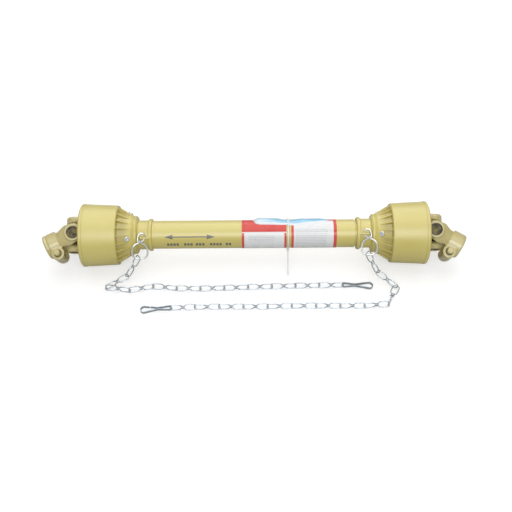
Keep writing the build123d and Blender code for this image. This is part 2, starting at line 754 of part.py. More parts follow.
def snap_hook(side):
    # Spring-steel strip bent into a narrow eye for the chain, a waist and a wide hook.
    points = chain_points(hook_foot(side), chain_route[side], link_total[side])
    last, before = points[-1], points[-2]
    heading = math.degrees(math.atan2(last.Y - before.Y, last.X - before.X))
    far = clip_length - clip_large_radius - clip_small_radius
    inside = Circle(clip_small_radius) + Pos(far, 0) * Circle(clip_large_radius)
    inside += make_face(Polyline(
        (0, clip_small_radius), (far * 0.45, clip_waist / 2), (far, clip_large_radius),
        (far, -clip_large_radius), (far * 0.45, -clip_waist / 2), (0, -clip_small_radius), close=True))
    strip = offset(inside, clip_strip) - inside
    gate = Rot(0, 0, 40) * Rectangle(clip_gate_slit, 4 * clip_strip + 6)
    gate = Pos(far * 0.8, -clip_large_radius) * gate
    body = extrude(strip - gate, clip_width / 2, both=True)
    drop = math.degrees(math.asin((loop_half_width - clip_width / 2 - 0.3) / clip_length))
    seat = clip_small_radius - chain_radius - link_play / 2
    return Pos(last) * Rot(0, 0, heading) * Rot(0, drop, 0) * Pos(seat, 0, 0) * body


# What lies on the outer guard tube

def wrap(low, high, inner, thickness):
    # A piece of ring in the YZ plane, from low to high degrees above level at the front.
    ring = Circle(inner + thickness) - Circle(inner)
    reach = 4 * inner
    corners = [(0.0, 0.0)]
    steps = 6
    for index in range(steps + 1):
        angle = math.radians(low + (high - low) * index / steps)
        corners.append((-reach * math.cos(angle), reach * math.sin(angle)))
    return ring & make_face(Polyline(*corners, close=True))


def across_shaft(sketch, x_from, width):
    # Carries a sketch drawn in (y, z) to the shaft and gives it a width along X.
    return extrude(Plane(origin=(x_from, 0, 0), x_dir=(0, 1, 0), z_dir=(1, 0, 0)) * sketch, width)


def label(start, width):
    seat = guard_tube_radius + wrap_gap
    return across_shaft(wrap(label_low_angle, label_high_angle, seat, label_thickness), start, width)


def leaflet():
    # Folded instruction sheet laid over the tube's back, one corner turned away.
    seat = guard_tube_radius + label_thickness + 2 * wrap_gap
    sheet = across_shaft(wrap(leaflet_low_angle, leaflet_high_angle, seat, leaflet_thickness),
                         leaflet_start, leaflet_width)
    corner = Pos(leaflet_start, 0, seat) * Rot(0, 45, 0) * Box(
        leaflet_corner, 2 * seat, leaflet_corner)
    return sheet - corner


def cable_tie():
    # Nylon tie round tube and leaflet, with its head and the tail that hangs to the ground.
    seat = guard_tube_radius + wrap_gap
    held = Circle(seat) + wrap(
        leaflet_low_angle, leaflet_high_angle, seat, label_thickness + leaflet_thickness + 2 * wrap_gap)
    band = across_shaft(offset(held, tie_thickness) - held, tie_place - tie_width / 2, tie_width)
    turn = math.radians(tie_head_angle)
    out = seat + tie_thickness + tie_head / 2 - 0.6
    head_y, head_z = -out * math.cos(turn), out * math.sin(turn)
    head = Pos(tie_place, head_y, head_z) * Rot(-tie_head_angle, 0, 0) * Box(tie_head, tie_head, tie_head)
    fall = math.asin((head_z - ground - 1.0) / tie_tail_length)
    tail = Pos(tie_place, head_y, head_z) * Rot(math.degrees(fall), 0, 0) * Pos(
        0, -tie_tail_length / 2, 0) * Box(tie_width, tie_tail_length, tie_thickness)
    return band + head + tail


# Assembly

def end_nodes(name, side):
    guard_roll = tractor_guard_roll if side == tractor else implement_guard_roll
    yoke_at = end_place(side, end_yoke_roll)
    bent = yoke_at * Rot(0, 0, bend_of(side))
    sleeve_at = sleeve_place(side)
    guard_at = end_place(side, guard_roll)
    seat_radius = guard_tube_radius if side == tractor else inner_guard_radius
    stop = tube_stop_depth if side == tractor else inner_tube_stop_depth
    shrink = 0 if side == tractor else inner_tube_shrink
    return {
        name + "_end_yoke": [bent * end_yoke(side)],
        name + "_end_yoke_cups": [bent * cup for cup in cups()],
        name + "_end_yoke_circlips": [bent * clip for clip in circlips()],
        name + "_push_pin": [bent * push_pin(side)],
        name + "_pin_clip": [bent * pin_clip(side)],
        name + "_pin_spring": [bent * pin_spring(side)],
        name + "_cross": [yoke_at * cross()],
        name + "_cross_seals": [yoke_at * ring for ring in seals()],
        name + "_grease_nipple": [yoke_at * grease_nipple()],
        name + "_tube_yoke": [sleeve_at * tube_yoke() - tube_socket(side, shrink)],
        name + "_tube_yoke_cups": [sleeve_at * cup for cup in cups()],
        name + "_tube_yoke_circlips": [sleeve_at * clip for clip in circlips()],
        name + "_roll_pin": [sleeve_at * roll_pin()],
        name + "_bearing_ring": [guard_at * bearing_ring()],
        name + "_guard_cone": [guard_at * guard_cone()],
        name + "_guard_collar": [guard_at * guard_collar(seat_radius, stop)],
        name + "_cone_screws": [guard_at * screw for screw in cone_screws()],
        name + "_chain_hook": [guard_at * hook_for(side)],
        name + "_chain": chain(side),
        name + "_snap_hook": [snap_hook(side)],
    }


def hook_for(side):
    # The hook hangs downwards at both ends, so one is the mirror image of the other.
    hook = chain_hook()
    return hook if side == implement else mirror(hook, about=Plane.XZ)


def shaft_nodes():
    seat = joint_x - sleeve_length
    tractor_stop = joint_x - neck_end_place + tube_stop_depth
    implement_stop = joint_x - neck_end_place + inner_tube_stop_depth
    return {
        "outer_drive_tube": [drive_tube(-seat - tube_seat_length, outer_drive_tube_end, 0,
                                        roll_pin_bore(tractor))],
        "inner_drive_tube": [drive_tube(inner_drive_tube_end, seat + tube_seat_length,
                                        inner_tube_shrink, roll_pin_bore(implement))],
        "outer_guard_tube": [turned_ring(-tractor_stop, outer_guard_tube_end, guard_tube_radius,
                                         guard_tube_radius - guard_tube_wall)],
        "inner_guard_tube": [turned_ring(inner_guard_tube_end, implement_stop, inner_guard_radius,
                                         inner_guard_radius - inner_guard_wall)],
        "first_label": [label(first_label_start, first_label_width)],
        "second_label": [label(second_label_start, second_label_width)],
        "leaflet": [leaflet()],
        "cable_tie": [cable_tie()],
    }


def all_nodes():
    nodes = shaft_nodes()
    nodes.update(end_nodes("tractor", tractor))
    nodes.update(end_nodes("implement", implement))
    return nodes


def origin_shift(nodes):
    # The origin is the middle of the footprint, on the ground.
    boxes = [solid.bounding_box() for solids in nodes.values() for solid in solids]
    low = [min(getattr(box.min, axis) for box in boxes) for axis in "XYZ"]
    high = [max(getattr(box.max, axis) for box in boxes) for axis in "XYZ"]
    return (-(low[0] + high[0]) / 2, -(low[1] + high[1]) / 2, -low[2])


def main():
    os.makedirs("parts", exist_ok=True)
    nodes = all_nodes()
    shift = origin_shift(nodes)
    for name, solids in nodes.items():
        placed = [(Pos(*shift) * shape).solid() for shape in solids]
        export_step(placed[0] if len(placed) == 1 else Compound(placed), f"parts/{name}.step")
    print("origin shift", [round(value, 4) for value in shift])


main()
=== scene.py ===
import json
import math

import bpy
from mathutils import Matrix, Vector


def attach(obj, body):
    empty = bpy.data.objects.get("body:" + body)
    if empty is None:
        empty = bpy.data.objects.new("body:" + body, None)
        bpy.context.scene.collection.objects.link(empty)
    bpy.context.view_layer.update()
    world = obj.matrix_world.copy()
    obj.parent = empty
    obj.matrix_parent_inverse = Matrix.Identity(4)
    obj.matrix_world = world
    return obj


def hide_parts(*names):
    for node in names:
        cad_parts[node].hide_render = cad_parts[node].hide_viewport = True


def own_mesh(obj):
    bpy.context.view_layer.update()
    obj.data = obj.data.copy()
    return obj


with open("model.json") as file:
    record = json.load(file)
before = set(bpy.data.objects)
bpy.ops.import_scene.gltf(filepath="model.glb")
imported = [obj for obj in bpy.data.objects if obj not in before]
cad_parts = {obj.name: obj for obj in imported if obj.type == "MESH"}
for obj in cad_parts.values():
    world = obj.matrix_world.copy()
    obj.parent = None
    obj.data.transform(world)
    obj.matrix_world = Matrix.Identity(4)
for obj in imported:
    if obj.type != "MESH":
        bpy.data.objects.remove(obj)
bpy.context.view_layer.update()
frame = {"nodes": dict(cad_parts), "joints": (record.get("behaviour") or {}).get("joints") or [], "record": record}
bpy.ops.object.select_all(action="DESELECT")


def named(entries, name):
    return next(entry for entry in entries if entry["name"] == name)


# The two cross joints fix the shaft's own axis, and all places below are counted from its middle.
jointPlaces = {joint["name"]: Vector(joint["pos_m"])
               for joint in frame["joints"] if "pos_m" in joint}
tractorCross = jointPlaces["tractor_cross_turn"]
implementCross = jointPlaces["implement_cross_turn"]
shaftMiddle = (tractorCross + implementCross) / 2
halfSpan = (implementCross - tractorCross).length / 2
shaftWay = Vector((1, 0, 0))
endWays = {"tractor": -shaftWay, "implement": shaftWay}
print("frame loaded,", len(frame["nodes"]), "nodes")


# Camera, as the photograph was taken: from the front, nearly fifty degrees down.
cameraLook = {
    "tilt": 49.5,             # degrees below level
    "roll": 0.47,
    "distance": 1.6,
    "pictureWidth": 512,      # pixels, which the two below are counted in
    "focalPixels": 826.9,
    "middlePixel": (254.6, 234.0),
    "clip": (0.05, 30),
}


def placeCamera(look):
    tilt, roll = math.radians(look["tilt"]), math.radians(-look["roll"])
    ahead = Vector((0, math.cos(tilt), -math.sin(tilt)))
    above = Vector((0, math.sin(tilt), math.cos(tilt)))
    aside = Vector((1, 0, 0))
    shiftX, shiftY = ((pixel - look["pictureWidth"] / 2) / look["focalPixels"]
                      for pixel in look["middlePixel"])
    stand = shaftMiddle - look["distance"] * (ahead + aside * shiftX - above * shiftY)
    cameraX = aside * math.cos(roll) + above * math.sin(roll)
    cameraY = above * math.cos(roll) - aside * math.sin(roll)
    data = bpy.data.cameras.new("camera")
    data.lens = look["focalPixels"] * data.sensor_width / look["pictureWidth"]
    data.clip_start, data.clip_end = look["clip"]
    camera = bpy.data.objects.new("camera", data)
    bpy.context.collection.objects.link(camera)
    turn = Matrix((cameraX, cameraY, -ahead)).transposed()
    camera.matrix_world = Matrix.Translation(stand) @ turn.to_4x4()
    bpy.context.scene.camera = camera


placeCamera(cameraLook)


# Shader maths as plain expressions.
class Wire:
    def __init__(self, paint, node, socket):
        self.paint, self.node, self.socket = paint, node, socket

    def out(self, name):
        return Wire(self.paint, self.node, self.node.outputs[name])

    def joined(self, operation, first, second=0.0):
        return self.paint.add("ShaderNodeMath", {"operation": operation}, {0: first, 1: second})

    def __add__(self, other):
        return self.joined("ADD", self, other)

    def __radd__(self, other):
        return self.joined("ADD", other, self)

    def __sub__(self, other):
        return self.joined("SUBTRACT", self, other)

    def __rsub__(self, other):
        return self.joined("SUBTRACT", other, self)

    def __mul__(self, other):
        return self.joined("MULTIPLY", self, other)

    def __rmul__(self, other):
        return self.joined("MULTIPLY", other, self)

    def __mod__(self, other):
        return self.joined("MODULO", self, other)

    def __gt__(self, other):
        return self.joined("GREATER_THAN", self, other)

    def __lt__(self, other):
        return self.joined("LESS_THAN", self, other)

    def __abs__(self):
        return self.joined("ABSOLUTE", self)


class Paint:
    socketNames = {"colour": "Base Color", "roughness": "Roughness", "metallic": "Metallic",
                   "normal": "Normal", "emission": "Emission Color"}

    def __init__(self, name, fixed):
        self.material = bpy.data.materials.new(name)
        self.material.use_nodes = True
        self.tree = self.material.node_tree
        self.shader = self.tree.nodes["Principled BSDF"]
        for socket, value in fixed.items():
            self.shader.inputs[socket].default_value = value
        self.place = self.add("ShaderNodeTexCoord").out("Object")

    def add(self, kind, settings=None, values=None):
        node = self.tree.nodes.new(kind)
        for name, value in (settings or {}).items():
            setattr(node, name, value)
        for socket, value in (values or {}).items():
            self.feed(node.inputs[socket], value)
        return Wire(self, node, node.outputs[0])

    def feed(self, socket, value):
        if isinstance(value, Wire):
            self.tree.links.new(value.socket, socket)
        else:
            socket.default_value = value

    def noise(self, scale, detail, roughness=0.55, stretch=(1, 1, 1), cut=None):
        place = self.place
        if stretch != (1, 1, 1):
            place = self.add("ShaderNodeMapping", values={"Vector": place, "Scale": stretch})
        made = self.add("ShaderNodeTexNoise", values={
            "Vector": place, "Scale": scale, "Detail": detail, "Roughness": roughness})
        return self.spread(made, *cut) if cut else made

    def spread(self, value, low, high, toLow=0.0, toHigh=1.0):
        return self.add("ShaderNodeMapRange", values={
            "Value": value, "From Min": low, "From Max": high, "To Min": toLow, "To Max": toHigh})

    def mix(self, share, first, second):
        # A mix node has sockets for every kind of value: its colours are 6 and 7, and 2 comes out.
        node = self.tree.nodes.new("ShaderNodeMix")
        node.data_type = "RGBA"
        self.feed(node.inputs[0], share)
        for socket, value in ((6, first), (7, second)):
            self.feed(node.inputs[socket], value if isinstance(value, Wire) else (*value, 1))
        return Wire(self, node, node.outputs[2])

    def along(self, origin, direction):
        reach = self.add("ShaderNodeVectorMath", {"operation": "DOT_PRODUCT"},
                         {0: self.place, 1: direction})
        return reach.out("Value") - origin.dot(direction)

    def distance(self, origin):
        span = self.add("ShaderNodeVectorMath", {"operation": "DISTANCE"},
                        {0: self.place, 1: origin})
        return span.out("Value")

    def offAxis(self, origin, direction):
        span, run = self.distance(origin), self.along(origin, direction)
        return span.joined("SQRT", span * span - run * run)

    def angleAbout(self, origin):
        # Degrees above level at the front, seen along the shaft.
        front, above = self.along(origin, Vector((0, -1, 0))), self.along(origin, Vector((0, 0, 1)))
        return front.joined("ARCTAN2", above, front) * math.degrees(1)

    def bump(self, height, distance, strength):
        return self.add("ShaderNodeBump", values={
            "Height": height, "Distance": distance, "Strength": strength})

    def finish(self, **sockets):
        for name, value in sockets.items():
            self.feed(self.shader.inputs[self.socketNames[name]], value)
        return self.material


def within(value, low, high):
    return (value > low) * (value < high)


def dress(material, *nodeNames):
    for name in nodeNames:
        slots = frame["nodes"][name].data.materials
        slots.clear()
        slots.append(material)


# Guard plastic: moulded polyethylene, satin, slightly uneven in colour.
guardLook = {
    "colour": (0.572, 0.480, 0.088),
    "paler": (0.624, 0.540, 0.130),
    "duller": (0.515, 0.421, 0.064),
    "evenness": 0.55,             # share of the plain colour over the clouds of paler and duller
    "roughness": (0.40, 0.52),
    "specular": 1.0,
    "sheen": 1.0,
    "sheenRoughness": 0.46,
    "sheenIndex": 1.7,
    "stretch": (1, 1, 1),         # of cloud and grain
    "cloud": {"scale": 9, "detail": 5, "cut": (0.35, 0.68)},
    "grain": {"scale": 240, "detail": 3, "roughness": 0.6},
    "fine": {"scale": 900, "detail": 2},
    "scuff": {"scale": 38, "detail": 7, "roughness": 0.7, "stretch": (0.35, 1, 1),
              "cut": (0.60, 0.78)},
    "scuffShare": 0.16,
    "relief": (0.00005, 0.5),     # height, strength
}


def guardPlastic(name, look, detail=None):
    paint = Paint(name, {"Specular IOR Level": look["specular"], "Coat Weight": look["sheen"],
                         "Coat Roughness": look["sheenRoughness"], "Coat IOR": look["sheenIndex"]})
    cloud, grain = (paint.noise(**look[kind], stretch=look["stretch"])
                    for kind in ("cloud", "grain"))
    scuff, fine = paint.noise(**look["scuff"]), paint.noise(**look["fine"])
    colour = paint.mix(cloud, look["duller"], look["paler"])
    colour = paint.mix(look["evenness"], colour, look["colour"])
    colour = paint.mix(scuff * look["scuffShare"], colour, look["paler"])
    roughness = paint.spread(cloud + 0.6 * grain, 0.2, 1.4, *look["roughness"]) + 0.1 * scuff
    height = grain + 0.4 * fine
    if detail:
        colour, height = detail(paint, colour, height)
    return paint.finish(colour=colour, roughness=roughness,
                        normal=paint.bump(height, *look["relief"]))


# Bells: fine seams round them, darkened with painted shade, and painted shade in the pockets between the cone's
# ribs and on the cone's inner wall there.
bellLook = {
    "seams": (0.0210, 0.0845),          # in from the joint
    "seamHalfWidth": 0.0010,
    # painted shade: the colour that the seams and the rib pockets are darkened towards
    "paintedShadeColour": (0.30, 0.22, 0.03),
    # how strongly the seams are darkened with painted shade
    "seamPaintedShade": 0.45,
    "seamDepth": 9.0,                   # as a multiple of the grain's height
    "coneTop": (0.0860, 0.0545),        # in from the joint, radius
    "coneFall": 0.634,
    "pockets": (0.0850, 0.1110),        # in from the joint
    "pocketDepth": (0.0008, 0.0042),
    # how strongly the pockets are darkened with painted shade
    "pocketPaintedShade": 0.55,
}


def bellDetail(paint, colour, height):
    inward = halfSpan - abs(paint.along(shaftMiddle, shaftWay))
    coneStart, coneRadius = bellLook["coneTop"]
    coneSurface = coneRadius - bellLook["coneFall"] * (inward - coneStart)
    depth = coneSurface - paint.offAxis(shaftMiddle, shaftWay)
    # Painted shade: below the cone's outer surface, in the pockets between the ribs and on the cone's inner wall
    # in the same band, the colour darkens as if in shadow.
    pocketShadeMask = paint.spread(depth, *bellLook["pocketDepth"]) * within(inward, *bellLook["pockets"])
    colour = paint.mix(pocketShadeMask * bellLook["pocketPaintedShade"], colour, bellLook["paintedShadeColour"])
    for seam in bellLook["seams"]:
        # Each seam is a groove in the bump, and painted shade darkens the colour along it.
        groove = paint.spread(abs(inward - seam), 0.0, bellLook["seamHalfWidth"], 1.0, 0.0)
        colour = paint.mix(groove * bellLook["seamPaintedShade"], colour, bellLook["paintedShadeColour"])
        height = height - bellLook["seamDepth"] * groove
    return colour, height


moulded = guardPlastic("mouldedYellow", guardLook, bellDetail)
for end in endWays:
    dress(moulded, end + "_guard_cone", end + "_guard_collar")

# Guard tubes: the same plastic drawn out along X, with plain marks where the photograph has print.
tubeLook = dict(guardLook, colour=(0.598, 0.502, 0.097), roughness=(0.36, 0.48),
                stretch=(0.18, 1, 1))
printLook = {
    "ink": (0.035, 0.034, 0.03),
    "inkShare": 0.95,
    "wear": {"scale": 420, "detail": 3, "cut": (0.22, 0.34)},
    "arrow": (-0.172, -0.075),          # from, to
    "arrowLevel": 38.0,                 # levels, reach and the line's half width are in degrees
    "lineHalfWidth": 2.3,
    "lineInset": 0.012,
    "tipLength": 0.016,
    "tipFlare": 620.0,                  # degrees for each metre from its point
    # from, how many
    "bars": ((-0.1670, 4), (-0.1345, 3), (-0.1120, 3), (-0.0850, 4), (-0.0550, 2)),
    "barLevel": 3.0,
    "barReach": 7.0,
    "barStep": 0.0060,
    "barWidth": 0.0043,
}


def tubePrint(paint, colour, height):
    turn, run = paint.angleAbout(shaftMiddle), paint.along(shaftMiddle, shaftWay)
    start, stop = printLook["arrow"]
    offLine = abs(turn - printLook["arrowLevel"])
    marks = (within(run, start + printLook["lineInset"], stop - printLook["lineInset"])
             * (offLine < printLook["lineHalfWidth"]))
    for tip, way in ((start, 1), (stop, -1)):
        depth = way * (run - tip)
        flank = offLine < depth * printLook["tipFlare"]
        marks = marks + within(depth, 0.0, printLook["tipLength"]) * flank
    barBand = abs(turn - printLook["barLevel"]) < printLook["barReach"]
    for start, count in printLook["bars"]:
        beat = ((run - start) % printLook["barStep"]) < printLook["barWidth"]
        marks = marks + within(run, start, start + count * printLook["barStep"]) * beat * barBand
    share = (marks > 0.5) * paint.noise(**printLook["wear"]) * printLook["inkShare"]
    return paint.mix(share, colour, printLook["ink"]), height


dress(guardPlastic("drawnYellow", tubeLook, tubePrint), "outer_guard_tube")
dress(guardPlastic("drawnYellowPlain", tubeLook), "inner_guard_tube")
print("guards painted")


# Yokes: forged skin under a satin coat, their bores broached bare.
yokeLook = {
    "colour": (0.53, 0.450, 0.165),
    "darker": (0.44, 0.365, 0.115),
    "paler": (0.59, 0.510, 0.21),
    "evenness": 0.5,
    "roughness": (0.34, 0.5),
    "specular": 0.9,
    "coat": 1.0,
    "coatRoughness": 0.32,
    "coatIndex": 1.7,
    "forge": {"scale": 70, "detail": 6, "roughness": 0.62},
    "cloud": {"scale": 22, "detail": 4, "cut": (0.35, 0.66)},
    "pits": {"scale": 420, "detail": 4, "roughness": 0.7, "cut": (0.60, 0.75)},
    "pitShare": 0.25,
    "relief": (0.00035, 0.55),   # height, strength
    "bareSteel": (0.34, 0.33, 0.31),
    "bareMetallic": 0.9,
    "toolMarks": {"scale": 600, "detail": 2},
    "splineReach": 0.0183,   # radius that is bare in the end yokes' bores
    "sleeveReach": 0.0185,   # and in the tube yokes'
    "boreFrom": 0.028,       # out from the joint
    "fineness": 0.00075,     # size of the cells that the forging's skin is drawn with
    "sleeveCoarser": 1.35,   # and how much larger they are on the tube yokes
    "weld": 0.00001,
    "softening": (0.5, 7),   # how much its edges are rounded in one round, rounds
    "share": 0.45,           # of its faces that are kept
}


def roundForging(nodeName, look, fineness):
    forging = frame["nodes"][nodeName]
    weld = forging.modifiers.new("weld", "WELD")
    weld.merge_threshold = look["weld"]
    skin = forging.modifiers.new("skin", "REMESH")
    skin.mode = "VOXEL"
    skin.voxel_size = fineness
    skin.use_smooth_shade = True
    smooth = forging.modifiers.new("smooth", "SMOOTH")
    smooth.factor, smooth.iterations = look["softening"]
    thin = forging.modifiers.new("thin", "DECIMATE")
    thin.ratio = look["share"]


def yokeCoat(name, look, joint, hubWay, boreReach):
    paint = Paint(name, {"Specular IOR Level": look["specular"], "Coat Weight": look["coat"],
                         "Coat Roughness": look["coatRoughness"], "Coat IOR": look["coatIndex"]})
    forge, cloud, pits = (paint.noise(**look[kind]) for kind in ("forge", "cloud", "pits"))
    colour = paint.mix(cloud, look["darker"], look["paler"])
    colour = paint.mix(look["evenness"], colour, look["colour"])
    colour = paint.mix(pits * look["pitShare"], colour, look["darker"])
    run, reach = paint.along(joint, hubWay), paint.offAxis(joint, hubWay)
    bare = (run > look["boreFrom"]) * (reach < boreReach)
    colour = paint.mix(bare, colour, look["bareSteel"])
    coated = paint.spread(forge, 0.3, 0.7, *look["roughness"])
    broached = 0.3 + 0.2 * paint.noise(**look["toolMarks"])
    return paint.finish(colour=colour, roughness=coated * (1 - bare) + bare * broached,
                        metallic=bare * look["bareMetallic"],
                        normal=paint.bump(forge + 0.3 * pits, *look["relief"]))


for end, outward in endWays.items():
    joint = jointPlaces[end + "_cross_turn"]
    boreWay = Vector(named(frame["record"]["mounts"], end + "_bore")["axis"])
    dress(yokeCoat(end + "YokeCoat", yokeLook, joint, boreWay, yokeLook["splineReach"]),
          end + "_end_yoke", end + "_push_pin")
    dress(yokeCoat(end + "SleeveCoat", yokeLook, joint, -outward, yokeLook["sleeveReach"]),
          end + "_tube_yoke")
    roundForging(end + "_end_yoke", yokeLook, yokeLook["fineness"])
    roundForging(end + "_tube_yoke", yokeLook, yokeLook["fineness"] * yokeLook["sleeveCoarser"])
print("yokes painted")


# Metals.
metalLooks = {
    "zinc": {
        "colour": (0.86, 0.87, 0.86), "other": (0.76, 0.79, 0.81),
        "roughness": (0.30, 0.46), "metallic": 0.85, "scale": 160, "bump": 0.00004},
    "chainZinc": {
        "colour": (0.68, 0.74, 0.80), "other": (0.53, 0.60, 0.67),
        "roughness": (0.24, 0.40), "metallic": 1.0, "scale": 210, "bump": 0.00005},
    # near black grease, darkened further as painted shade for the recessed bearing cups, in patches of a dull
    # yellow-brown
    "greaseAndShadeSteel": {
        "colour": (0.020, 0.017, 0.010), "other": (0.23, 0.19, 0.075),
        "roughness": (0.34, 0.60), "metallic": 0.2, "scale": 95, "bump": 0.00012},
    "springSteel": {
        "colour": (0.38, 0.44, 0.50), "other": (0.52, 0.57, 0.62),
        "roughness": (0.22, 0.38), "metallic": 1.0, "scale": 120, "bump": 0.00003},
    "groundSteel": {
        "colour": (0.50, 0.49, 0.47), "other": (0.38, 0.37, 0.35),
        "roughness": (0.26, 0.44), "metallic": 1.0, "scale": 90, "bump": 0.00004},
    "darkSteel": {
        "colour": (0.075, 0.073, 0.07), "other": (0.13, 0.125, 0.115),
        "roughness": (0.34, 0.55), "metallic": 0.85, "scale": 130, "bump": 0.00008},
    "brass": {
        "colour": (0.62, 0.48, 0.22), "other": (0.50, 0.37, 0.16),
        "roughness": (0.25, 0.42), "metallic": 1.0, "scale": 150, "bump": 0.00004},
}


def metal(name, look):
    paint = Paint(name, {"Metallic": look["metallic"]})
    cloud = paint.noise(look["scale"], detail=5, cut=(0.34, 0.66))
    fine = paint.noise(look["scale"] * 9, detail=3, roughness=0.6)
    return paint.finish(colour=paint.mix(cloud, look["colour"], look["other"]),
                        roughness=paint.spread(cloud + 0.5 * fine, 0.2, 1.3, *look["roughness"]),
                        normal=paint.bump(fine, look["bump"], strength=0.6))


metals = {name: metal(name, look) for name, look in metalLooks.items()}
dress(metals["groundSteel"], "outer_drive_tube", "inner_drive_tube")
for end in endWays:
    dress(metals["zinc"], end + "_cone_screws")
    dress(metals["springSteel"], end + "_snap_hook")
    dress(metals["darkSteel"], end + "_end_yoke_circlips", end + "_tube_yoke_circlips",
          end + "_pin_clip", end + "_roll_pin")
    # Crosses and bearing cups: greased steel, its near black partly painted shade standing in for the cups' deep
    # recess.
    dress(metals["greaseAndShadeSteel"], end + "_cross", end + "_end_yoke_cups", end + "_tube_yoke_cups")
    dress(metals["brass"], end + "_grease_nipple")


def pinCoil(end):
    mesh = frame["nodes"][end + "_pin_spring"].data.copy()
    coil = bpy.data.objects.new(end + "PinCoil", mesh)
    bpy.context.collection.objects.link(coil)
    mesh.materials.clear()
    mesh.materials.append(metals["springSteel"])
    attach(coil, end + "_end_yoke_body")
    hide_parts(end + "_pin_spring")
    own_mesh(coil)


for end in endWays:
    pinCoil(end)


# Seals and nylon.
softLooks = {
    "sealRubber": {
        "colour": (0.022, 0.022, 0.022), "other": (0.04, 0.04, 0.038), "roughness": (0.5, 0.68)},
    "naturalNylon": {
        "colour": (0.76, 0.78, 0.79), "other": (0.69, 0.71, 0.72), "roughness": (0.34, 0.48)},
}


def softPlastic(name, look):
    paint = Paint(name, {"Subsurface Weight": 0.05, "Subsurface Scale": 0.001})
    cloud = paint.noise(scale=60, detail=4, cut=(0.35, 0.65))
    fine = paint.noise(scale=700, detail=3)
    return paint.finish(colour=paint.mix(cloud, look["colour"], look["other"]),
                        roughness=paint.spread(cloud + fine, 0.3, 1.5, *look["roughness"]),
                        normal=paint.bump(fine, distance=0.00004, strength=0.5))


softs = {name: softPlastic(name, look) for name, look in softLooks.items()}
dress(softs["naturalNylon"], "cable_tie")
for end in endWays:
    dress(softs["sealRubber"], end + "_cross_seals")
    dress(softs["naturalNylon"], end + "_bearing_ring")
print("metals and small parts painted")


# Labels: printed film in plain fields, a coloured frame round a white panel with ruled grey lines.
# Lengths are along the tube, and header, gap, lines and lineStep are in degrees round it.
labelLooks = {
    "first_label": {
        "start": -0.024, "width": 0.085, "sideLeft": 0.0046, "sideRight": 0.0040,
        "header": 56.0, "gap": 4.0, "lines": (14, 42), "lineStep": 7.0, "lineInset": 0.012},
    "second_label": {
        "start": 0.0705, "width": 0.0865, "sideLeft": 0.0046, "sideRight": 0.0060,
        "header": 112.0, "gap": 0.0, "lines": (-40, 66), "lineStep": 7.4, "lineInset": 0.008},
}
labelInks = {
    "red": (0.62, 0.065, 0.055),
    "paleRed": (0.70, 0.11, 0.09),
    "paleRedShare": 0.25,
    "white": (0.75, 0.755, 0.76),
    "grey": (0.34, 0.355, 0.37),
    "greyShare": 0.8,
    "lineWeight": 0.22,       # inked share of a line's step
    "ragged": {"scale": 1, "detail": 0, "stretch": (0, 14, 14)},
    "raggedReach": 0.02,      # how far the lines' ends differ
    "speck": {"scale": 900, "detail": 2, "cut": (0.3, 0.5)},
    "cloud": {"scale": 40, "detail": 3, "cut": (0.3, 0.7)},
    "roughness": (0.22, 0.34),
    "ripple": {"scale": 55, "detail": 3, "stretch": (0.5, 1, 1)},
    "relief": (0.0006, 0.35),
}


def labelFilm(name, look, inks):
    paint = Paint(name, {"Specular IOR Level": 0.5})
    run = paint.along(shaftMiddle + look["start"] * shaftWay, shaftWay)
    turn = paint.angleAbout(shaftMiddle)
    panel = (within(run, look["sideLeft"], look["width"] - look["sideRight"])
             * (turn < look["header"]))
    stripe = within(turn, look["header"] - look["gap"], look["header"])
    white = (panel + stripe) > 0.5
    beat = ((turn + 360.0) % look["lineStep"]) < look["lineStep"] * inks["lineWeight"]
    ragged, speck, cloud, ripple = (paint.noise(**inks[kind])
                                    for kind in ("ragged", "speck", "cloud", "ripple"))
    lineEnd = look["width"] - look["lineInset"] - ragged * inks["raggedReach"]
    ruled = within(turn, *look["lines"]) * beat * within(run, look["lineInset"], lineEnd)
    red = paint.mix(cloud * inks["paleRedShare"], inks["red"], inks["paleRed"])
    colour = paint.mix(white, red, inks["white"])
    colour = paint.mix(ruled * white * speck * inks["greyShare"], colour, inks["grey"])
    return paint.finish(colour=colour, roughness=paint.spread(cloud, 0, 1, *inks["roughness"]),
                        normal=paint.bump(ripple, *inks["relief"]))


for nodeName, look in labelLooks.items():
    dress(labelFilm(nodeName + "Film", look, labelInks), nodeName)


